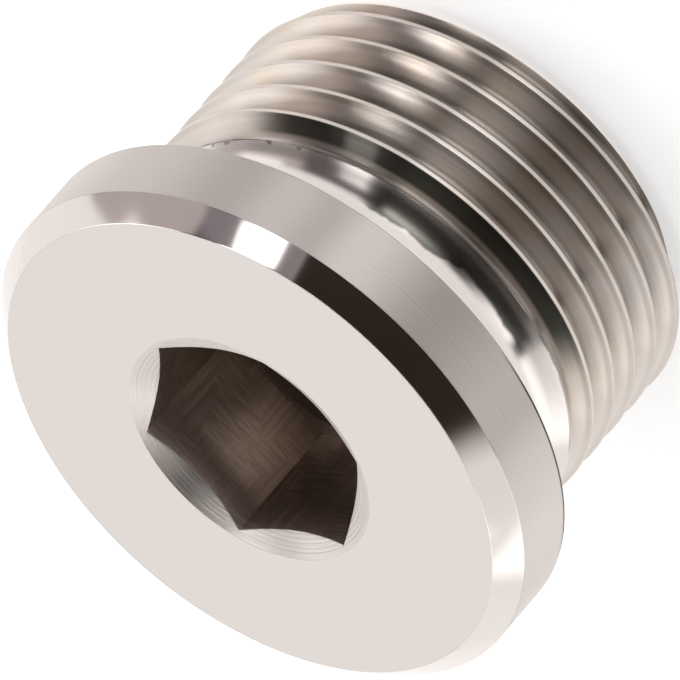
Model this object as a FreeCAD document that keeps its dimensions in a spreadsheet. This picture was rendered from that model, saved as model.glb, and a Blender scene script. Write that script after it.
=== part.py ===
import FreeCAD, Part
import Sketcher
import os

# Hex socket screw plug with a collar head and an M27 x 2 thread, turned from one bar.
# Millimetres. The plug stands on the end of its shank: the origin is the centre of that
# end, +Z runs up the axis through the thread, the undercut and the head to its face.

NODE_NAME = "plug_body"

# Driving sizes: alias, value, what it is.
SIZES = [
    ("head_diameter", 32.0, "outside diameter of the collar head"),
    ("head_thickness", 5.0, "height of the head above its seat"),
    ("face_chamfer_width", 1.25, "how far the chamfer runs in over the face"),
    ("face_chamfer_depth", 1.15, "how far the chamfer runs down the rim"),
    ("seat_edge_break", 0.1, "small chamfer round the lower edge of the rim"),
    ("shank_length", 15.8, "seat to the end of the shank"),
    ("neck_length", 3.7, "plain undercut between the seat and the thread"),
    ("neck_relief", 1.5, "radial depth of the undercut below the thread crests"),
    ("neck_round", 0.35, "length of the facet's two sides in the corner below the neck"),
    ("tip_chamfer", 0.95, "45 degree chamfer at the end of the thread"),
    ("thread_diameter", 26.9, "diameter over the thread crests"),
    ("thread_pitch", 2.0, "axial distance from crest to crest"),
    ("thread_crest", 0.25, "axial width of the flat on each crest"),
    ("thread_root", 0.36, "axial width of the flat at the bottom of the groove"),
    ("thread_flank", 30.0, "angle of each flank from square to the axis, degrees"),
    ("thread_lead_in", 0.21, "how far above the thread's start chamfer the groove starts"),
    ("groove_overrun", 0.3, "how far the groove's profile stands out past the crests"),
    ("socket_flats", 12.1, "hexagon socket, across its flats"),
    ("socket_depth", 8.0, "face to the end of the hexagon"),
    ("pilot_diameter", 11.8, "drilled hole that the hexagon is broached from"),
    ("pilot_extra", 1.5, "how far the drill's full diameter goes past the hexagon"),
    ("drill_point", 118.0, "included angle of the drill's point, degrees"),
    ("countersink_diameter", 14.64, "countersink at the mouth of the socket"),
    ("countersink_angle", 120.0, "included angle of the countersink, degrees"),
]

# Heights and radii that several features share, as formulas over the sheet.
SEAT = "Sizes.shank_length"
FACE = "(Sizes.shank_length + Sizes.head_thickness)"
HEAD_RADIUS = "Sizes.head_diameter / 2"
CREST_RADIUS = "Sizes.thread_diameter / 2"
NECK_RADIUS = "Sizes.thread_diameter / 2 - Sizes.neck_relief"
NECK_END = "(Sizes.shank_length - Sizes.neck_length)"
SOCKET_CORNER = "Sizes.socket_flats / 2 / cos(30 deg)"


def make_sheet(doc):
    """Write the driving sizes into a spreadsheet, one alias to a row."""
    sheet = doc.addObject("Spreadsheet::Sheet", "Sizes")
    for row, (alias, value, note) in enumerate(SIZES, start=1):
        sheet.set(f"A{row}", note)
        sheet.set(f"B{row}", str(value))
        sheet.setAlias(f"B{row}", alias)
    doc.recompute()


def origin_part(body, role):
    """Find one of the body's own origin planes or axes."""
    return next(item for item in body.Origin.OriginFeatures if item.Role == role)


def new_sketch(body, name, role):
    """Start a sketch on one of the body's origin planes."""
    sketch = body.newObject("Sketcher::SketchObject", name)
    sketch.AttachmentSupport = [(origin_part(body, role), "")]
    sketch.MapMode = "FlatFace"
    return sketch


def bind_distance(sketch, kind, edge, name, formula):
    """Hold the start of an edge at a distance from the sketch's origin."""
    index = sketch.addConstraint(Sketcher.Constraint(kind, -1, 1, edge, 1, 1.0))
    sketch.renameConstraint(index, name)
    sketch.setExpression(f"Constraints.{name}", formula)


def draw_section(body, name, corners):
    """Draw a closed half section on the XZ plane.

    Each corner is its name, its distance from the axis and its height, both as formulas.
    A distance of None lies on the axis, and a height of None on the end of the shank.
    """
    sketch = new_sketch(body, name, "XZ_Plane")
    count = len(corners)
    for edge in range(count):
        start = FreeCAD.Vector(1 + edge, 1, 0)
        end = FreeCAD.Vector(1 + (edge + 1) % count, 2, 0)
        sketch.addGeometry(Part.LineSegment(start, end), False)
    for edge in range(count):
        following = (edge + 1) % count
        sketch.addConstraint(Sketcher.Constraint("Coincident", edge, 2, following, 1))
    for edge, (corner, across, height) in enumerate(corners):
        if across is None:
            sketch.addConstraint(Sketcher.Constraint("PointOnObject", edge, 1, -2))
        else:
            bind_distance(sketch, "DistanceX", edge, corner + "_across", across)
        if height is None:
            sketch.addConstraint(Sketcher.Constraint("PointOnObject", edge, 1, -1))
        else:
            bind_distance(sketch, "DistanceY", edge, corner + "_height", height)
    return sketch


def turn(body, kind, name, section):
    """Turn a section a full turn about the axis, as a solid or as a cut."""
    feature = body.newObject(kind, name)
    feature.Profile = section
    feature.ReferenceAxis = (origin_part(body, "Z_Axis"), [""])
    feature.Angle = 360
    return feature


def add_blank(body):
    """Collar head, undercut neck and the plain shank before its thread is cut."""
    thread_top = f"{NECK_END} - Sizes.neck_relief"
    section = draw_section(body, "BlankSection", [
        ("end_centre", None, None),
        ("end_edge", f"{CREST_RADIUS} - Sizes.tip_chamfer", None),
        ("tip_edge", CREST_RADIUS, "Sizes.tip_chamfer"),
        ("thread_top", CREST_RADIUS, thread_top),
        ("cone_low", f"{NECK_RADIUS} + Sizes.neck_round * sin(45 deg)",
         f"{NECK_END} - Sizes.neck_round * cos(45 deg)"),
        ("neck_low", NECK_RADIUS, f"{NECK_END} + Sizes.neck_round"),
        ("neck_high", NECK_RADIUS, SEAT),
        ("seat_edge", f"{HEAD_RADIUS} - Sizes.seat_edge_break", SEAT),
        ("rim_low", HEAD_RADIUS, f"{SEAT} + Sizes.seat_edge_break"),
        ("rim_high", HEAD_RADIUS, f"{FACE} - Sizes.face_chamfer_depth"),
        ("face_edge", f"{HEAD_RADIUS} - Sizes.face_chamfer_width", FACE),
        ("face_centre", None, FACE),
    ])
    return turn(body, "PartDesign::Revolution", "Blank", section)


def add_countersink(body):
    """Open the mouth of the socket with a wide shallow cone."""
    radius = "Sizes.countersink_diameter / 2"
    depth = f"{radius} / tan(Sizes.countersink_angle / 2 * 1 deg)"
    section = draw_section(body, "CountersinkSection", [
        ("mouth_centre", None, FACE),
        ("mouth_edge", radius, FACE),
        ("cone_point", None, f"{FACE} - {depth}"),
    ])
    return turn(body, "PartDesign::Groove", "Countersink", section)


def add_pilot_hole(body):
    """Drill the hole that the hexagon is broached from, with the drill's point below."""
    radius = "Sizes.pilot_diameter / 2"
    shoulder = f"{FACE} - Sizes.socket_depth - Sizes.pilot_extra"
    point = f"{shoulder} - {radius} / tan(Sizes.drill_point / 2 * 1 deg)"
    section = draw_section(body, "PilotSection", [
        ("hole_centre", None, FACE),
        ("hole_edge", radius, FACE),
        ("shoulder", radius, shoulder),
        ("drill_tip", None, point),
    ])
    return turn(body, "PartDesign::Groove", "PilotHole", section)


def add_hex_socket(body):
    """Sink a regular hexagon into the face, with one corner on the X axis."""
    sketch = new_sketch(body, "HexagonSketch", "XY_Plane")
    sketch.setExpression("AttachmentOffset.Base.z", FACE)
    sides = 6
    corners = []
    for side in range(sides):
        turn_to_corner = FreeCAD.Rotation(FreeCAD.Vector(0, 0, 1), 360 / sides * side)
        corners.append(turn_to_corner.multVec(FreeCAD.Vector(7, 0, 0)))
    for side in range(sides):
        sketch.addGeometry(Part.LineSegment(corners[side], corners[(side + 1) % sides]), False)
    ring = sketch.addGeometry(Part.Circle(FreeCAD.Vector(), FreeCAD.Vector(0, 0, 1), 7), True)
    for side in range(sides):
        following = (side + 1) % sides
        sketch.addConstraint(Sketcher.Constraint("Coincident", side, 2, following, 1))
        sketch.addConstraint(Sketcher.Constraint("PointOnObject", side, 1, ring))
        if side:
            sketch.addConstraint(Sketcher.Constraint("Equal", 0, side))
    sketch.addConstraint(Sketcher.Constraint("Coincident", ring, 3, -1, 1))
    sketch.addConstraint(Sketcher.Constraint("PointOnObject", 0, 1, -1))
    radius = sketch.addConstraint(Sketcher.Constraint("Radius", ring, 7.0))
    sketch.renameConstraint(radius, "corner_radius")
    sketch.setExpression("Constraints.corner_radius", SOCKET_CORNER)
    pocket = body.newObject("PartDesign::Pocket", "HexSocket")
    pocket.Profile = sketch
    pocket.setExpression("Length", "Sizes.socket_depth")
    return pocket


def add_thread(body):
    """Cut the right-hand thread groove from the undercut down past the end of the shank."""
    start = f"({NECK_END} + Sizes.thread_lead_in)"
    slope = "tan(Sizes.thread_flank * 1 deg)"
    half_mouth = "(Sizes.thread_pitch - Sizes.thread_crest) / 2"
    half_root = "Sizes.thread_root / 2"
    half_outside = f"({half_mouth} + Sizes.groove_overrun * {slope})"
    outside = f"{CREST_RADIUS} + Sizes.groove_overrun"
    root = f"{CREST_RADIUS} - ({half_mouth} - {half_root}) / {slope}"
    profile = draw_section(body, "GrooveProfile", [
        ("outer_low", outside, f"{start} - {half_outside}"),
        ("root_low", root, f"{start} - {half_root}"),
        ("root_high", root, f"{start} + {half_root}"),
        ("outer_high", outside, f"{start} + {half_outside}"),
    ])
    groove = body.newObject("PartDesign::SubtractiveHelix", "ThreadGroove")
    groove.Profile = profile
    groove.ReferenceAxis = (origin_part(body, "Z_Axis"), [""])
    groove.Reversed = True
    groove.LeftHanded = False
    groove.setExpression("Pitch", "Sizes.thread_pitch")
    groove.setExpression("Height", f"{start} + Sizes.thread_pitch")
    return groove


def add_cut(doc, body, make_cut):
    """Make a cutting feature and confirm that it took material off the solid."""
    before = body.Shape.Volume
    cut = make_cut(body)
    doc.recompute()
    if not body.Shape.Volume < before:
        raise ValueError(f"{cut.Name} removed nothing")


def check_document(doc, body):
    """Stop if any feature failed, or if the plug isn't one sound solid."""
    for item in doc.Objects:
        if "Invalid" in item.State or "Error" in item.State:
            raise ValueError(f"{item.Name} failed: {item.State}")
    shape = body.Shape
    if shape.isNull() or not shape.isValid() or len(shape.Solids) != 1:
        raise ValueError(f"{body.Label} isn't one valid solid")


def main():
    doc = FreeCAD.newDocument("HexSocketPlug")
    make_sheet(doc)
    body = doc.addObject("PartDesign::Body", "PlugBody")
    body.Label = NODE_NAME
    body.Placement = FreeCAD.Placement()
    add_blank(body)
    doc.recompute()
    for make_cut in (add_thread, add_countersink, add_pilot_hole, add_hex_socket):
        add_cut(doc, body, make_cut)
    check_document(doc, body)
    os.makedirs("parts", exist_ok=True)
    body.Shape.exportStep(f"parts/{body.Label}.step")
    box = body.Shape.optimalBoundingBox(False)
    print(f"{body.Label}: volume {body.Shape.Volume:.2f} mm3, faces {len(body.Shape.Faces)}")
    print(f"box {box.XLength:.3f} x {box.YLength:.3f} x {box.ZLength:.3f}, low {box.ZMin:.3f}")


main()
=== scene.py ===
"""Looks of the hex socket plug: the turned surfaces, its threads and a plain studio.

The plug stands on the end of its shank, +Z up its axis. Lengths are in millimetres, and MM
turns them into Blender's metres where a mesh, a bump or the camera is made.
"""
import math

import bmesh
import bpy
import numpy as np
from mathutils import Matrix, Vector


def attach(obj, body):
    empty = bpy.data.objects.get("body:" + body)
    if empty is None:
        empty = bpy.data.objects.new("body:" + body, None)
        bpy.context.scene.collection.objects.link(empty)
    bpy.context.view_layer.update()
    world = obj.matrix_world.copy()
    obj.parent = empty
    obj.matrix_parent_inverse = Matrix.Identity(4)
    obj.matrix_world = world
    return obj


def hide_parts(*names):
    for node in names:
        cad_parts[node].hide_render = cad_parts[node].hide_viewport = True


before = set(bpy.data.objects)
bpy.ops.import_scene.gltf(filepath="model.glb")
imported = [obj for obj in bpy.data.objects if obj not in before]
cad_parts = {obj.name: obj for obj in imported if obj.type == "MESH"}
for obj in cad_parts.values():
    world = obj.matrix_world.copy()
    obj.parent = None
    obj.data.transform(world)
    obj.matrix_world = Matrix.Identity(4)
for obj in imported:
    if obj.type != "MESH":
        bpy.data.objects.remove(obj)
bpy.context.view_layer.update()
MM = 0.001
DEGREES = 180 / math.pi

# Sizes of the plug, as in its source.
HEAD_RADIUS = 16.0
SEAT_Z = 15.8
FACE_Z = 20.8
CHAMFER_WIDTH = 1.25
CHAMFER_DEPTH = 1.15
SEAT_BREAK = 0.1
NECK_RADIUS = 11.95
NECK_Z = 12.1
CREST_RADIUS = 13.45
CONE_FOOT_Z = NECK_Z - (CREST_RADIUS - NECK_RADIUS)
TIP_CHAMFER = 0.95
PITCH = 2.0
ROOT_RADIUS = 12.246
HALF_ROOT = 0.18
HALF_MOUTH = 0.875
FLANK_SLOPE = math.tan(math.radians(60))
GROOVE_START_Z = 12.31
COUNTERSINK_RADIUS = 7.32
COUNTERSINK_SLOPE = math.tan(math.radians(30))
HEX_APOTHEM = 6.05
HEX_FLOOR_Z = 12.8
PILOT_RADIUS = 5.9
PILOT_Z = 11.3
DRILL_HALF_ANGLE = 59
DRILL_TIP_Z = PILOT_Z - PILOT_RADIUS / math.tan(math.radians(DRILL_HALF_ANGLE))

# The edge that the thread's start leaves on the cone: its height at angle zero, and its
# rise for each degree round the axis.
START_EDGE_Z = 10.971
START_EDGE_RISE = 0.003522

# How far edges and corners are rounded.
EDGE_ROUND = 0.045
CREST_ROUND = 0.05
NECK_ROUND = 0.55
SEAT_CORNER_ROUND = 0.3
SEAT_EDGE_ROUND = 0.03
HEAD_EDGE_ROUND = 0.05
LIP_ROUND = 0.03

# How finely the surface is divided. The offsets are from the edge or crossing they refine.
COLUMNS = 384
GROOVES = 9
BAND_TOP_Z = 12.8
END_SHARES = (0.0, 0.5, 0.85)
NEAR_ROOT = (0.06, 0.12, 0.175, 0.225, 0.27)
ON_FLANK = (0.45, 0.65)
NEAR_MOUTH = (-0.06, -0.035, -0.015, 0.0, 0.02, 0.05)
NEAR_CROSSING = (-0.04, 0.0, 0.04)
NEAR_CORNER = (-0.03, 0.0, 0.03)
NECK_SAMPLES = 13
CURVE_SHARES = (0.0, 0.25, 0.5, 0.75, 1.0)
MOUTH_STEP = 0.2

# How near to a surface a point has to be to belong to it.
NEAR_EDGE = 0.02
NEAR_CHAMFER = 0.001
NEAR_FACE = 0.002
NEAR_BLANK = 0.01
CONE_MARGIN = 0.05
WELD_METRES = 1e-7
SHARP_DEGREES = 32
FLAT_WEIGHT = 90

REGIONS = ("thread", "cone", "neck", "seat", "rim", "chamfer", "face", "countersink", "socket",
           "drill", "end")


def place(name, data):
    """Put a mesh or a camera into the scene."""
    placed = bpy.data.objects.new(name, data)
    bpy.context.scene.collection.objects.link(placed)
    return placed


def smooth_min(a, b, width):
    """The smaller of two heights, with the edge where they cross rounded off."""
    blend = np.clip(1 - np.abs(a - b) / width, 0, 1)
    return np.minimum(a, b) - blend * blend * width / 4


def smooth_max(a, b, width):
    """The larger of two heights, with the corner where they cross filled a little."""
    return -smooth_min(-a, -b, width)


def blank_radius(z):
    """Outside radius of the shank before its thread is cut."""
    tip = CREST_RADIUS - TIP_CHAMFER + z
    start_cone = NECK_RADIUS + NECK_Z - z
    radius = smooth_min(smooth_min(tip, start_cone, EDGE_ROUND), CREST_RADIUS, EDGE_ROUND)
    return smooth_max(radius, NECK_RADIUS, NECK_ROUND)


def groove_radius(offset):
    """Radius of the groove's round bottom and its flanks, from the height above its middle."""
    flank = ROOT_RADIUS + FLANK_SLOPE * (np.abs(offset) - HALF_ROOT)
    nose = HALF_ROOT * FLANK_SLOPE
    bottom = ROOT_RADIUS + nose - np.sqrt(np.maximum(nose * nose - offset * offset, 0.0))
    return np.where(np.abs(offset) < nose * math.cos(math.radians(30)), bottom, flank)


def shank_columns(angles):
    """Heights and radii of the threaded shank, one row of samples for each angle."""
    turns = angles / math.tau
    middles = GROOVE_START_Z - PITCH * np.arange(GROOVES)[None, :] + PITCH * turns[:, None]
    near_mouth = HALF_MOUTH + np.array(NEAR_MOUTH)
    one_side = np.concatenate([NEAR_ROOT, ON_FLANK, near_mouth])
    offsets = np.concatenate([-one_side[::-1], [0.0], one_side])
    samples = [(middles[:, :, None] + offsets[None, None, :]).reshape(len(angles), -1)]

    # heights at which the lower and upper flanks cross the start cone and the end chamfer
    cone_lower = FLANK_SLOPE * (middles - HALF_ROOT) + ROOT_RADIUS - NECK_RADIUS - NECK_Z
    cone_lower = cone_lower / (FLANK_SLOPE - 1)
    cone_meets = FLANK_SLOPE * HALF_ROOT - ROOT_RADIUS + NECK_RADIUS + NECK_Z
    cone_upper = (cone_meets + FLANK_SLOPE * middles) / (1 + FLANK_SLOPE)
    tip_upper = ROOT_RADIUS - CREST_RADIUS + TIP_CHAMFER - FLANK_SLOPE * (middles + HALF_ROOT)
    tip_upper = tip_upper / (1 - FLANK_SLOPE)
    tip_lower = ROOT_RADIUS - CREST_RADIUS + TIP_CHAMFER + FLANK_SLOPE * (middles - HALF_ROOT)
    tip_lower = tip_lower / (1 + FLANK_SLOPE)
    on_cone = (NECK_Z - 1.6, NECK_Z)
    on_tip = (0.0, 1.1)
    crossings = [(cone_lower, on_cone), (cone_upper, on_cone),
                 (tip_upper, on_tip), (tip_lower, on_tip)]
    for crossing, (lowest, highest) in crossings:
        beside = np.clip(crossing, lowest, highest)[:, :, None] + np.array(NEAR_CROSSING)
        samples.append(beside.reshape(len(angles), -1))

    corners = np.concatenate([
        TIP_CHAMFER + np.array(NEAR_CORNER),
        CONE_FOOT_Z + np.array(NEAR_CORNER),
        NECK_Z + np.linspace(-NECK_ROUND, NECK_ROUND, NECK_SAMPLES),
    ])
    samples.append(np.tile(corners, (len(angles), 1)))
    heights = np.sort(np.clip(np.concatenate(samples, axis=1), 0.0, BAND_TOP_Z), axis=1)
    radii = blank_radius(heights)
    for groove in range(GROOVES):
        cut = groove_radius(heights - middles[:, groove:groove + 1])
        radii = smooth_min(radii, cut, CREST_ROUND)
    return heights, radii


def rounded(corners):
    """Turn corners of radius, height and rounding into a finer outline."""
    points = []
    for index, (radius, height, rounding) in enumerate(corners):
        here = np.array([radius, height])
        if rounding <= 0 or index in (0, len(corners) - 1):
            points.append(here)
            continue
        before = np.array(corners[index - 1][:2]) - here
        after = np.array(corners[index + 1][:2]) - here
        start = here + before / np.linalg.norm(before) * rounding
        end = here + after / np.linalg.norm(after) * rounding
        for share in CURVE_SHARES:
            points.append((1 - share) ** 2 * start + 2 * share * (1 - share) * here
                          + share ** 2 * end)
    return np.array(points)


def hexagon_radius(angles):
    """Distance from the axis to the hexagon's wall, with a corner at angle zero."""
    sixth = math.tau / 6
    return HEX_APOTHEM / np.cos(np.mod(angles, sixth) - sixth / 2)


def head_region(radius, height):
    """The region that a point of the head's outline, or of the neck above the thread, is in."""
    if height < SEAT_Z - NEAR_EDGE:
        return "neck"
    if height < SEAT_Z + NEAR_EDGE:
        return "seat"
    if radius > HEAD_RADIUS - NEAR_EDGE:
        return "rim"
    if radius > HEAD_RADIUS - CHAMFER_WIDTH - NEAR_CHAMFER:
        return "chamfer"
    if height > FACE_Z - NEAR_FACE:
        return "face"
    return "countersink"


def plug_rows(angles):
    """Every row of points round the plug, from the middle of its end to the drill's tip.

    A row is its region's name, its heights and its radii, one for each angle.
    """
    count = len(angles)
    rows = []

    def ring(region, radius, height):
        rows.append((region, np.broadcast_to(height, count), np.broadcast_to(radius, count)))

    heights, radii = shank_columns(angles)
    for share in END_SHARES:
        ring("end", radii[:, 0] * share, 0.0)
    for index in range(heights.shape[1]):
        ring("thread", radii[:, index], heights[:, index])

    mouth = COUNTERSINK_RADIUS - MOUTH_STEP
    outline = rounded([
        (NECK_RADIUS, BAND_TOP_Z, 0),
        (NECK_RADIUS, SEAT_Z, SEAT_CORNER_ROUND),
        (HEAD_RADIUS - SEAT_BREAK, SEAT_Z, SEAT_EDGE_ROUND),
        (HEAD_RADIUS, SEAT_Z + SEAT_BREAK, SEAT_EDGE_ROUND),
        (HEAD_RADIUS, FACE_Z - CHAMFER_DEPTH, HEAD_EDGE_ROUND),
        (HEAD_RADIUS - CHAMFER_WIDTH, FACE_Z, HEAD_EDGE_ROUND),
        (COUNTERSINK_RADIUS, FACE_Z, HEAD_EDGE_ROUND),
        (mouth, FACE_Z - MOUTH_STEP * COUNTERSINK_SLOPE, 0)])
    for radius, height in outline[1:]:
        ring(head_region(radius, height), radius, height)

    wall = hexagon_radius(angles)
    lip = FACE_Z - (COUNTERSINK_RADIUS - wall) * COUNTERSINK_SLOPE
    for share in (0.35, 0.7):
        inner = COUNTERSINK_RADIUS - MOUTH_STEP + share * (wall - COUNTERSINK_RADIUS + MOUTH_STEP)
        ring("countersink", inner, FACE_Z - (COUNTERSINK_RADIUS - inner) * COUNTERSINK_SLOPE)
    ring("countersink", wall + LIP_ROUND, lip + LIP_ROUND * COUNTERSINK_SLOPE)
    ring("countersink", wall + LIP_ROUND * 0.3, lip - LIP_ROUND * 0.3)
    ring("socket", wall, lip - LIP_ROUND)
    for share in (0.3, 0.6):
        ring("socket", wall, lip + share * (HEX_FLOOR_Z - lip))
    ring("drill", wall, HEX_FLOOR_Z)
    ring("drill", PILOT_RADIUS, HEX_FLOOR_Z)
    ring("drill", PILOT_RADIUS, PILOT_Z)
    ring("drill", PILOT_RADIUS / 2, (PILOT_Z + DRILL_TIP_Z) / 2)
    ring("drill", 0.0, DRILL_TIP_Z)
    return rows


def build_plug():
    """One closed mesh of the whole plug, with one material slot for each region."""
    angles = np.arange(COLUMNS + 1) * math.tau / COLUMNS
    rows = plug_rows(angles)
    heights = np.array([row[1] for row in rows])
    radii = np.array([row[2] for row in rows])
    points = np.stack([radii * np.cos(angles), radii * np.sin(angles), heights], axis=-1)
    across = COLUMNS + 1
    vertices = (points.reshape(-1, 3) * MM).tolist()
    faces = []
    slots = []
    for row in range(len(rows) - 1):
        # the end's outermost band takes the thread's finish
        region = rows[row + 1][0] if row < len(END_SHARES) else rows[row][0]
        middle_z = (heights[row, :-1] + heights[row + 1, 1:]) / 2
        middle_r = (radii[row, :-1] + radii[row + 1, 1:]) / 2
        above_thread = middle_z > CONE_FOOT_Z + CONE_MARGIN
        on_blank = above_thread & (np.abs(middle_r - blank_radius(middle_z)) < NEAR_BLANK)
        for column in range(COLUMNS):
            here = row * across + column
            faces.append((here, here + 1, here + 1 + across, here + across))
            is_cone = region == "thread" and on_blank[column]
            slots.append(REGIONS.index("cone" if is_cone else region))
    mesh = bpy.data.meshes.new("plug_looks")
    mesh.from_pydata(vertices, [], faces)
    mesh.polygons.foreach_set("material_index", slots)
    work = bmesh.new()
    work.from_mesh(mesh)
    bmesh.ops.remove_doubles(work, verts=work.verts, dist=WELD_METRES)
    bmesh.ops.dissolve_degenerate(work, edges=work.edges, dist=WELD_METRES)
    bmesh.ops.recalc_face_normals(work, faces=work.faces)
    work.to_mesh(mesh)
    work.free()
    mesh.shade_smooth()
    mesh.set_sharp_from_angle(angle=math.radians(SHARP_DEGREES))
    piece = place("plug_looks", mesh)
    weighted = piece.modifiers.new("flat_faces_stay_flat", "WEIGHTED_NORMAL")
    weighted.keep_sharp = True
    weighted.weight = FLAT_WEIGHT
    return piece


class Nodes:
    """Short ways to add shader nodes to one tree."""

    def __init__(self, tree):
        self.tree = tree
        tree.nodes.clear()

    def add(self, kind, settings=None, **inputs):
        """A new node. An underscore in an input's name stands for a space."""
        node = self.tree.nodes.new(kind)
        for key, value in (settings or {}).items():
            setattr(node, key, value)
        for key, value in inputs.items():
            self.feed(node.inputs[key.replace("_", " ")], value)
        return node

    def feed(self, socket, value):
        """Link another node's output to a socket, or set the socket to a plain value."""
        if isinstance(value, bpy.types.NodeSocket):
            self.tree.links.new(value, socket)
        else:
            socket.default_value = value

    def feed_in_order(self, node, values):
        """Feed a node's sockets from the first one on."""
        for socket, value in zip(node.inputs, values):
            self.feed(socket, value)

    def math(self, operation, *values):
        """One step of arithmetic on numbers."""
        node = self.add("ShaderNodeMath", {"operation": operation})
        self.feed_in_order(node, values)
        return node.outputs[0]

    def product(self, *shares):
        """All the given numbers multiplied together."""
        result = shares[0]
        for share in shares[1:]:
            result = self.math("MULTIPLY", result, share)
        return result

    def vector(self, operation, *values):
        """One step of arithmetic on vectors."""
        node = self.add("ShaderNodeVectorMath", {"operation": operation})
        self.feed_in_order(node, values)
        return node.outputs["Value" if operation in ("DOT_PRODUCT", "LENGTH") else 0]

    def ramp(self, value, low, high, to_low=0.0, to_high=1.0):
        """A soft step from one number to another while the value goes from low to high."""
        node = self.add("ShaderNodeMapRange", {"interpolation_type": "SMOOTHSTEP"})
        self.feed_in_order(node, (value, low, high, to_low, to_high))
        return node.outputs[0]

    def fade(self, value, low, high):
        """A soft step down from 1 to 0 while the value goes from low to high."""
        return self.ramp(value, low, high, 1.0, 0.0)

    def mix_colour(self, share, first, second):
        """The first colour where the share is 0, and the second where it is 1."""
        node = self.add("ShaderNodeMix", {"data_type": "RGBA"})
        sockets = [s for s in node.inputs if s.type == "RGBA"]
        self.feed(node.inputs[0], share)
        self.feed(sockets[0], first)
        self.feed(sockets[1], second)
        return next(s for s in node.outputs if s.type == "RGBA")

    def line_noise(self, along, scale, detail):
        """Noise that changes with one number only."""
        return self.add("ShaderNodeTexNoise", {"noise_dimensions": "1D"},
                        W=along, Scale=scale, Detail=detail).outputs[0]

    def noise(self, spot, scale, detail):
        """Noise that changes with a spot in space."""
        return self.add("ShaderNodeTexNoise", Vector=spot, Scale=scale, Detail=detail).outputs[0]

    def both(self, first, second):
        """Two shaders added together."""
        node = self.add("ShaderNodeAddShader")
        self.feed_in_order(node, (first.outputs[0], second.outputs[0]))
        return node.outputs[0]


# Colours of the steel on the plug's regions, and of the painted shade and painted dark reflection
# on it.
STEEL = (0.66, 0.612, 0.58, 1.0)
THREAD_STEEL = (0.66, 0.60, 0.555, 1.0)
TAN_STEEL = (0.66, 0.57, 0.49, 1.0)
# painted shade: the seat under the head is coloured dark in place of the shade it reflects
SEAT_PAINTED_SHADE = (0.18, 0.165, 0.155, 1.0)
SOCKET_STEEL = (0.66, 0.57, 0.51, 1.0)
STREAK_STEEL = (0.46, 0.39, 0.345, 1.0)
# painted shade: the drill point at the bottom of the socket is coloured dark
DRILL_POINT_PAINTED_SHADE = (0.26, 0.22, 0.195, 1.0)
# painted shade in the thread's groove bottoms, on its downward flanks and under its crests
GROOVE_PAINTED_SHADE = (0.15, 0.13, 0.115, 1.0)
# the colour of painted dark reflection and painted shade
PAINTED_DARK = (0.05, 0.053, 0.042, 1.0)

# Anisotropic Rotation counts full turns, and a quarter spreads light across the turned lines.
GRAIN_TURN = 0.25

# Marks on the thread: the degrees from one rib to the next, and depths in millimetres.
RIB_PERIOD = 0.66
RIB_DEPTH = 0.0007
TOOL_MARK_DEPTH = 0.009

# Where the painted dark reflection, the painted shade and the marks lie round the axis: two
# angles in degrees and the softness of the ends.
STRONG_RIBS = (54, 90, 6)
THREAD_PAINTED_REFLECTION = (-4, 93, 8)
THINNER_THREAD_PAINTED_REFLECTION = (63, 71, 1.5)
CONE_PAINTED_REFLECTION = (5, 59, 3)
THIN_CONE_PAINTED_REFLECTION = (66, 98, 5)
# painted shade along the crease where the thread starts
CREASE_PAINTED_SHADE = (-30, 112, 3)
CREASE_SHADE_WIDENING = (72, 112, 3)
UNBROKEN_CREASE_SHADE = (-24, -5, 3)
# painted shade along the rim's lower edge
RIM_PAINTED_SHADE = (-32, 14, 6)

# Shares of the painted shade and of the painted dark reflection in the colour, where they are
# strongest.
GROOVE_SHADE_SHARE = 0.85
UNDER_CREST_SHADE_SHARE = 0.4
THREAD_REFLECTION_SHARE = 0.93
CONE_REFLECTION_SHARE = 0.87
RIM_SHADE_SHARE = 0.92


class Finish:
    """A steel material being made, with the places on the plug that its marks follow."""

    def __init__(self, name, roughness, anisotropy, colour=STEEL):
        self.material = bpy.data.materials.new(name)
        self.material.use_nodes = True
        n = self.n = Nodes(self.material.node_tree)
        metres = n.add("ShaderNodeTexCoord").outputs["Object"]
        self.spot = n.add("ShaderNodeVectorMath", {"operation": "SCALE"},
                          Vector=metres, Scale=1 / MM).outputs[0]
        x, y, self.height = n.add("ShaderNodeSeparateXYZ", Vector=self.spot).outputs
        flat = n.add("ShaderNodeCombineXYZ", X=x, Y=y)
        self.radius = n.vector("LENGTH", flat.outputs[0])
        self.angle = n.product(n.math("ARCTAN2", y, x), DEGREES)
        tangent = n.add("ShaderNodeTangent", {"direction_type": "RADIAL", "axis": "Z"})
        self.shader = n.add("ShaderNodeBsdfPrincipled")
        self.set("Base Color", colour)
        self.set("Metallic", 1.0)
        self.set("Roughness", roughness)
        self.set("Anisotropic", anisotropy)
        self.set("Anisotropic Rotation", GRAIN_TURN)
        self.set("Tangent", tangent.outputs[0])
        self.relief = None
        n.add("ShaderNodeOutputMaterial", Surface=self.shader.outputs[0])

    def set(self, socket, value):
        """Set or link one of the shader's own sockets."""
        self.n.feed(self.shader.inputs[socket], value)

    def marks(self, height, depth):
        """Lay marks of a depth in millimetres over the ones before."""
        bump = self.n.add("ShaderNodeBump", Height=height, Distance=depth * MM)
        if self.relief is not None:
            self.n.feed(bump.inputs["Normal"], self.relief)
        self.relief = bump.outputs[0]
        self.set("Normal", self.relief)

    def window(self, low, high, edge):
        """A share that is 1 between two angles round the axis, soft at both ends."""
        n = self.n
        return n.product(n.ramp(self.angle, low - edge, low + edge),
                         n.fade(self.angle, high - edge, high + edge))


def turned(name, roughness, anisotropy, along, depth, scale, colour=STEEL):
    """A turned surface, with fine lines round the axis."""
    finish = Finish(name, roughness, anisotropy, colour)
    across = finish.height if along == "height" else finish.radius
    finish.marks(finish.n.line_noise(across, scale, detail=4.0), depth)
    return finish.material


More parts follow.
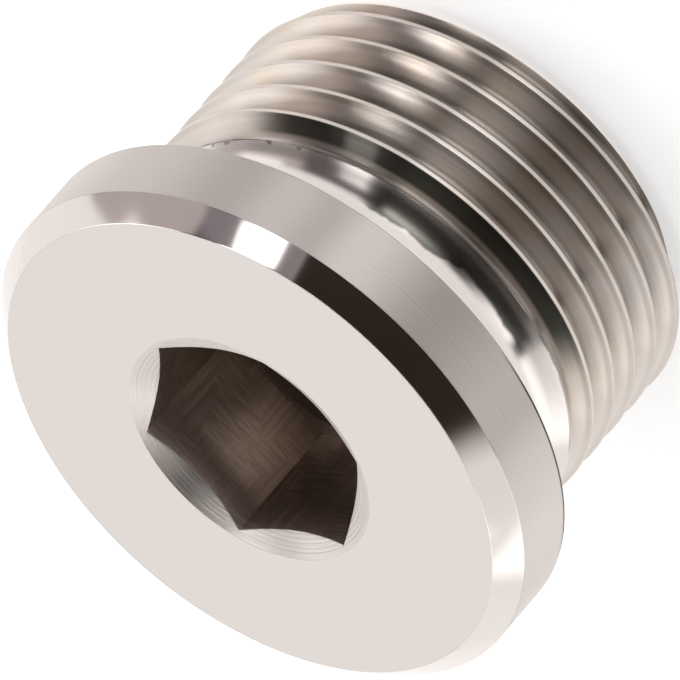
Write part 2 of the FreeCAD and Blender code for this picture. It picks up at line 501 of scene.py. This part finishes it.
def thread_steel():
    """The cut thread: tool marks, chatter across it, painted shade in the groove bottoms and
    under the crests, and a painted dark reflection.
    """
    finish = Finish("thread_steel", roughness=0.29, anisotropy=1.0)
    n = finish.n
    down_flank = n.math("ADD", finish.height, finish.radius)
    finish.marks(n.line_noise(down_flank, scale=9.0, detail=3.0), TOOL_MARK_DEPTH)
    ribs = n.math("SINE", n.product(finish.angle, math.tau / RIB_PERIOD))
    uneven = n.line_noise(n.product(finish.angle, 0.31), scale=1.5, detail=2.0)
    ribs = n.product(ribs, n.ramp(uneven, 0.35, 0.65, 0.6, 1.0),
                     n.math("ADD", 0.25, finish.window(*STRONG_RIBS)))
    finish.marks(ribs, RIB_DEPTH)

    # height above the middle of the nearest groove
    start = n.math("SUBTRACT", finish.height, n.product(finish.angle, PITCH / 360))
    rise = n.math("WRAP", n.math("SUBTRACT", start, GROOVE_START_Z), PITCH / 2, -PITCH / 2)
    # painted shade: dark from the groove's bottom up its downward flank, and in a band just under
    # each crest
    bottom = n.product(n.ramp(rise, -0.40, -0.12), n.fade(rise, 0.84, 0.95))
    shade_under_crest = n.product(n.ramp(rise, -0.91, -0.86), n.fade(rise, -0.78, -0.66))
    dark = n.math("ADD", n.product(bottom, GROOVE_SHADE_SHARE), n.product(shade_under_crest, UNDER_CREST_SHADE_SHARE))
    dark = n.product(dark, n.ramp(finish.angle, 80, 92, 1.0, 0.35),
                     n.ramp(finish.angle, -36, -16, 0.35, 1.0))
    clouds = n.noise(finish.spot, scale=0.3, detail=3.0)
    tan = n.product(n.ramp(clouds, 0.42, 0.62, 0.0, 0.8), n.ramp(finish.angle, -34, -8, 0.2, 1.0))
    steel = n.mix_colour(dark, n.mix_colour(tan, THREAD_STEEL, TAN_STEEL), GROOVE_PAINTED_SHADE)

    # a painted dark reflection lies on the lower flank of the first full groove under the neck
    first = n.math("SUBTRACT", start, GROOVE_START_Z - PITCH)
    on_first_flank = n.product(n.ramp(first, -0.92, -0.86), n.fade(first, -0.42, -0.26))
    thinner = n.product(0.3, finish.window(*THINNER_THREAD_PAINTED_REFLECTION))
    painted_dark_share = n.product(on_first_flank, finish.window(*THREAD_PAINTED_REFLECTION),
                     n.math("SUBTRACT", THREAD_REFLECTION_SHARE, thinner))
    finish.set("Base Color", n.mix_colour(painted_dark_share, steel, PAINTED_DARK))
    return finish.material


def socket_steel():
    """The broached walls: streaks down them, and patches of short stripes across."""
    finish = Finish("socket_steel", roughness=0.3, anisotropy=0.0, colour=SOCKET_STEEL)
    n = finish.n
    x, y, z = n.add("ShaderNodeSeparateXYZ", Vector=finish.spot).outputs
    down = n.add("ShaderNodeCombineXYZ", X=x, Y=y, Z=n.product(z, 0.05)).outputs[0]
    across = n.add("ShaderNodeCombineXYZ", X=n.product(x, 0.1),
                   Y=n.product(y, 0.1), Z=z).outputs[0]
    streaks = n.noise(down, scale=3.5, detail=5.0)
    stripes = n.noise(across, scale=7.0, detail=3.0)
    patches = n.ramp(n.noise(finish.spot, scale=0.35, detail=1.0), 0.36, 0.60)
    marks = n.math("ADD", n.product(streaks, n.math("SUBTRACT", 1.0, patches)),
                   n.product(stripes, patches))
    finish.marks(marks, depth=0.004)
    finish.set("Base Color", n.mix_colour(n.ramp(marks, 0.30, 0.70), STREAK_STEEL, SOCKET_STEEL))
    return finish.material


def face_steel():
    """The satin face, faintly mottled, with a few tiny dark specks."""
    finish = Finish("face_steel", roughness=0.27, anisotropy=0.0)
    n = finish.n
    finish.marks(n.line_noise(finish.radius, scale=5.0, detail=4.0), depth=0.001)
    cloudy = n.ramp(n.noise(finish.spot, scale=2.2, detail=6.0), 0.35, 0.7, 0.0, 0.12)
    specks = n.ramp(n.noise(finish.spot, scale=6.0, detail=2.0), 0.70, 0.76, 0.0, 0.6)
    finish.set("Base Color", n.mix_colour(n.math("ADD", cloudy, specks), STEEL, SOCKET_STEEL))
    return finish.material


def cone_steel():
    """The cone where the thread starts, partly under a painted dark reflection."""
    finish = Finish("cone_steel", roughness=0.22, anisotropy=0.9)
    n = finish.n
    finish.marks(n.line_noise(finish.height, scale=4.0, detail=1.0), depth=0.002)

    # the painted reflection's wavy upper edge stands higher on one side
    wavy = n.product(n.line_noise(n.product(finish.angle, 0.12), scale=1.0, detail=2.0), 0.5)
    top = n.math("ADD", n.ramp(finish.angle, 28, 42, 11.72, 12.22), wavy)
    above = n.math("SUBTRACT", finish.height, top)
    painted_dark_share = n.product(finish.window(*CONE_PAINTED_REFLECTION), CONE_REFLECTION_SHARE, n.fade(above, -0.13, 0.07))
    thin = n.product(finish.window(*THIN_CONE_PAINTED_REFLECTION),
                     n.ramp(finish.height, 11.65, 11.9, 0.35, 0.0))
    painted_dark_share = n.math("ADD", painted_dark_share, thin)

    # painted shade in a thin broken line, wider in places, in the crease where the thread starts
    edge = n.math("ADD", n.product(finish.angle, START_EDGE_RISE), START_EDGE_Z)
    over = n.math("SUBTRACT", finish.height, edge)
    line_widening = n.ramp(n.line_noise(finish.angle, scale=0.24, detail=1.0), 0.55, 0.68, 0.0, 0.16)
    width = n.math("ADD", n.product(line_widening, finish.window(*CREASE_SHADE_WIDENING)), 0.08)
    line = n.fade(n.math("DIVIDE", over, width), 0.5, 1.0)
    gaps = n.line_noise(n.math("ADD", finish.angle, 40), scale=0.1, detail=2.0)
    broken = n.math("MAXIMUM", n.ramp(gaps, 0.42, 0.52, 0.5, 1.0), finish.window(*UNBROKEN_CREASE_SHADE))
    line = n.product(line, broken, finish.window(*CREASE_PAINTED_SHADE))
    painted_dark_share = n.product(n.math("MAXIMUM", painted_dark_share, line), n.ramp(finish.height, 11.2, 11.5, 0.5, 1.0))
    # the cone's colour carries the painted dark reflection and the crease's painted shade
    finish.set("Base Color", n.mix_colour(painted_dark_share, STEEL, PAINTED_DARK))
    return finish.material


def rim_steel():
    """The turned rim, with a thin line of painted shade along part of its lower edge."""
    finish = Finish("rim_steel", roughness=0.52, anisotropy=1.0)
    n = finish.n
    finish.marks(n.line_noise(finish.height, scale=5.0, detail=4.0), depth=0.013)
    # painted shade in the gap along the rim's lower edge
    line = n.product(n.fade(finish.height, SEAT_Z + 0.18, SEAT_Z + 0.26),
                     finish.window(*RIM_PAINTED_SHADE), RIM_SHADE_SHARE)
    finish.set("Base Color", n.mix_colour(line, STEEL, PAINTED_DARK))
    return finish.material


def make_materials():
    """The finish of each region."""
    return {
        "thread": thread_steel(),
        "cone": cone_steel(),
        "neck": turned("neck_steel", roughness=0.42, anisotropy=1.0,
                       along="height", depth=0.016, scale=5.0),
        # the seat's dark colour is painted shade under the head
        "seat": turned("seat_steel", roughness=0.12, anisotropy=0.8,
                       along="radius", depth=0.004, scale=8.0, colour=SEAT_PAINTED_SHADE),
        "rim": rim_steel(),
        "chamfer": turned("chamfer_steel", roughness=0.1, anisotropy=0.8,
                          along="height", depth=0.001, scale=5.0),
        "face": face_steel(),
        "countersink": turned("countersink_steel", roughness=0.44, anisotropy=0.9,
                              along="radius", depth=0.08, scale=6.0),
        "socket": socket_steel(),
        # the drill point's dark colour is painted shade at the bottom of the socket
        "drill": turned("drill_steel", roughness=0.35, anisotropy=0.0,
                        along="height", depth=0.004, scale=4.0, colour=DRILL_POINT_PAINTED_SHADE),
        "end": turned("end_steel", roughness=0.3, anisotropy=0.4,
                      along="radius", depth=0.01, scale=8.0),
    }


# The camera: how the photograph looks at the plug, which stands upright here. The distance
# and the aim are in millimetres of the plug, and the lens goes with the sensor's width.
CAMERA_AZIMUTH = 40.6388
CAMERA_ELEVATION = 33.7993
CAMERA_ROLL = 139.1235
CAMERA_DISTANCE = 1282.961
CAMERA_AIM = (-0.6738, -0.3910, 11.5443)
CAMERA_LENS = 1324.375
SENSOR_WIDTH = 36.0
NEAREST_METRES = 0.05
FARTHEST_METRES = 20.0


def direction(azimuth, elevation):
    """A unit vector, from its azimuth off +X and its elevation, in degrees."""
    a = math.radians(azimuth)
    e = math.radians(elevation)
    return Vector((math.cos(a) * math.cos(e), math.sin(a) * math.cos(e), math.sin(e)))


def make_camera():
    """A long lens from the photograph's side, rolled so that the shank points up right."""
    data = bpy.data.cameras.new("camera")
    data.lens = CAMERA_LENS
    data.sensor_width = SENSOR_WIDTH
    data.clip_start = NEAREST_METRES
    data.clip_end = FARTHEST_METRES
    camera = place("camera", data)
    back = direction(CAMERA_AZIMUTH, CAMERA_ELEVATION)
    level = back.to_track_quat("Z", "Y").to_matrix()
    roll = Matrix.Rotation(math.radians(-CAMERA_ROLL), 3, "Z")
    spot = (Vector(CAMERA_AIM) + back * CAMERA_DISTANCE) * MM
    camera.matrix_world = Matrix.Translation(spot) @ (level @ roll).to_4x4()
    bpy.context.scene.camera = camera


def around(azimuth, elevation):
    """A direction whose azimuth is counted from the camera's side."""
    return direction(CAMERA_AZIMUTH + azimuth, elevation)


# Colours of the tent and its cloths, and the middle of the panel at its back.
WHITE = (1.0, 1.0, 1.0, 1.0)
TENT = (1.05, 1.05, 1.05, 1.0)
SIDE_TENT = (1.2, 1.2, 1.2, 1.0)
BACK_PANEL = (1.17, 1.17, 1.17, 1.0)
PALE_CLOTH = (0.60, 0.54, 0.54, 1.0)
DARK_CLOTH = (0.30, 0.27, 0.30, 1.0)
DEEP_CLOTH = (0.05, 0.048, 0.055, 1.0)
LOW_CLOTH = (0.07, 0.06, 0.06, 1.0)
TOP_CLOTH = (0.076, 0.060, 0.049, 1.0)
OPENING = (0.033, 0.024, 0.019, 1.0)
PANEL_MIDDLE = (180, 34)


class Tent:
    """Places in the tent of light round the plug.

    An arc is the set of directions that one line down a turned surface can reflect to the
    camera, whatever its slope, counted as the angle of that line from the camera's side,
    to the left. The edges of the cloths follow arcs, as if they hung round the plug.
    """

    def __init__(self, n):
        self.n = n
        self.looking = n.add("ShaderNodeTexCoord").outputs["Generated"]
        self.height = n.add("ShaderNodeSeparateXYZ", Vector=self.looking).outputs[2]
        self.toward = self.along(around(0, 0))
        ahead = n.math("ADD", self.toward, math.cos(math.radians(CAMERA_ELEVATION)))
        self.arc = n.product(n.math("ARCTAN2", self.along(around(90, 0)), ahead), DEGREES)
        from_panel = n.math("ARCCOSINE", self.along(around(*PANEL_MIDDLE)))
        self.from_panel = n.product(from_panel, DEGREES)
        self.above = n.ramp(self.height, 0.02, 0.12)

    def along(self, axis):
        """How far a place in the tent lies along an axis, from -1 to 1."""
        return self.n.vector("DOT_PRODUCT", self.looking, tuple(axis))

    def arcs(self, low, high, low_edge, high_edge):
        """A share that is 1 between two arcs, each with a soft edge of its own."""
        n = self.n
        return n.product(n.ramp(self.arc, low - low_edge, low + low_edge),
                         n.fade(self.arc, high - high_edge, high + high_edge))


def cloths(tent):
    """The colour of the tent: pale, with cloths, an opening over the camera and a panel."""
    n, arc, height, toward, above = tent.n, tent.arc, tent.height, tent.toward, tent.above
    colour = n.mix_colour(n.ramp(n.math("ABSOLUTE", arc), 40, 80), TENT, SIDE_TENT)

    # the pale cloth on the left ends at a plane, and the dark one runs on over the top
    fold = around(120, 20).cross(around(108, 55))
    inside = n.ramp(tent.along(fold.normalized()), -0.03, 0.03)
    pale = n.product(tent.arcs(36, 67, 1.5, 2.0), inside, above)
    colour = n.mix_colour(pale, colour, PALE_CLOTH)
    dark_end = n.math("MAXIMUM", n.ramp(height, 0.68, 0.80, 37.5, 42.0),
                      n.ramp(toward, -0.28, -0.12, 42.0, 37.5))
    past_end = n.math("SUBTRACT", arc, dark_end)
    dark = n.product(n.ramp(arc, 14, 17), n.fade(past_end, -1.2, 1.2), above)
    dark_colour = n.mix_colour(n.ramp(height, 0.5, 0.64), LOW_CLOTH, DARK_CLOTH)
    dark_colour = n.mix_colour(n.fade(toward, -0.04, 0.12), dark_colour, TOP_CLOTH)
    deep = n.product(n.ramp(arc, 32, 35), n.fade(toward, -0.28, -0.12))
    dark_colour = n.mix_colour(deep, dark_colour, DEEP_CLOTH)
    colour = n.mix_colour(dark, colour, dark_colour)

    # the cloth over the top, the opening in it and the seam at its right edge
    top = n.product(tent.arcs(-33, 15.5, 6.0, 1.5), above)
    colour = n.mix_colour(top, colour, TOP_CLOTH)
    opening = n.product(tent.arcs(-29, 15.5, 4.0, 0.7), n.ramp(toward, -0.14, 0.02), above)
    colour = n.mix_colour(opening, colour, OPENING)
    seam = n.product(tent.arcs(-37.4, -33.4, 0.6, 0.6), n.fade(height, 0.5, 0.62), above)
    colour = n.mix_colour(seam, colour, OPENING)
    return n.mix_colour(n.fade(tent.from_panel, 14, 22), colour, BACK_PANEL)


def lights(tent):
    """How much light each place in the tent gives beside its colour, where 1 is white."""
    n, arc, height, toward, above = tent.n, tent.arc, tent.height, tent.toward, tent.above
    strip_start = n.math("SUBTRACT", arc, n.ramp(height, 0.84, 0.91, 20.0, 22.3))
    strip_end = n.math("SUBTRACT", arc, n.ramp(height, 0.84, 0.91, 29.6, 34.0))
    strip = n.product(n.ramp(strip_start, -0.8, 0.8), n.fade(strip_end, -0.8, 0.8),
                      n.ramp(height, 0.70, 0.74), n.ramp(toward, -0.28, -0.16))
    strip_strength = n.ramp(height, 0.84, 0.88, 3.0, 8.0)
    below_strip = n.product(tent.arcs(19.5, 27.5, 0.8, 1.0), n.ramp(height, 0.56, 0.62),
                            n.fade(height, 0.70, 0.74), n.ramp(toward, 0.0, 0.1))
    near_floor = n.product(n.fade(height, 0.42, 0.52), n.ramp(tent.from_panel, 36, 50), above)
    low_middle = n.product(n.fade(arc, 12.6, 14.0), n.ramp(arc, -9, 9), near_floor)
    low_right = n.product(n.fade(arc, -26, -10), n.ramp(arc, -34, -31), near_floor)
    low_far_right = n.product(tent.arcs(-67, -38.5, 4.0, 1.0), near_floor)
    low_left = n.product(tent.arcs(43, 57, 1.0, 2.0), n.fade(height, 0.22, 0.3), above)
    beside = n.math("ADD", n.ramp(arc, 41, 45), n.ramp(arc, -46, -40, 0.4, 0.0))
    behind = n.product(beside, n.ramp(height, 0.5, 0.62), n.fade(toward, -0.32, -0.2),
                       n.ramp(tent.from_panel, 22, 30))
    back_middle = n.product(tent.arcs(6, 13, 2.0, 1.0), n.fade(toward, -0.14, 0.02))
    top_right = n.product(tent.arcs(-35, -14, 2.0, 4.0), n.ramp(height, 0.84, 0.92),
                           n.fade(toward, 0.06, 0.16))
    shares_and_strengths = [
        (below_strip, 2.2), (low_middle, 4.5), (low_right, 1.7), (low_far_right, 0.75),
        (low_left, 1.2), (behind, 1.25), (back_middle, 0.6), (top_right, 0.12)]
    light = n.product(strip, strip_strength)
    for share, strength in shares_and_strengths:
        light = n.math("ADD", light, n.product(share, strength))
    return light


def make_world():
    """A light tent with grey cloths on one side, an opening over the camera and soft lights."""
    world = bpy.data.worlds.new("studio")
    bpy.context.scene.world = world
    world.use_nodes = True
    n = Nodes(world.node_tree)
    tent = Tent(n)
    fabric = n.add("ShaderNodeBackground", Color=cloths(tent), Strength=1.0)
    lamps = n.add("ShaderNodeBackground", Color=WHITE, Strength=lights(tent))
    n.add("ShaderNodeOutputWorld", Surface=n.both(fabric, lamps))


FLOOR_HALF_METRES = 3.0
FLOOR_COLOUR = (0.95, 0.95, 0.95, 1.0)
FLOOR_GLOW = 0.42


def make_floor():
    """A wide pale floor that shows white and keeps the plug's shadow."""
    mesh = bpy.data.meshes.new("floor")
    half = FLOOR_HALF_METRES
    mesh.from_pydata([(-half, -half, 0), (half, -half, 0), (half, half, 0), (-half, half, 0)],
                     [], [(0, 1, 2, 3)])
    floor = place("floor", mesh)
    material = bpy.data.materials.new("pale_floor")
    material.use_nodes = True
    n = Nodes(material.node_tree)
    diffuse = n.add("ShaderNodeBsdfDiffuse", Color=FLOOR_COLOUR)
    path = n.add("ShaderNodeLightPath")
    seen = n.math("MAXIMUM", path.outputs["Is Camera Ray"], path.outputs["Is Glossy Ray"])
    seen = n.math("MAXIMUM", seen, path.outputs["Is Transmission Ray"])
    glow = n.add("ShaderNodeEmission", Color=WHITE, Strength=n.product(seen, FLOOR_GLOW))
    n.add("ShaderNodeOutputMaterial", Surface=n.both(diffuse, glow))
    mesh.materials.append(material)


plug = build_plug()
finishes = make_materials()
for region_name in REGIONS:
    plug.data.materials.append(finishes[region_name])
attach(plug, "root")
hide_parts("plug_body")
make_floor()
make_world()
make_camera()
bpy.context.scene.view_settings.view_transform = "Standard"
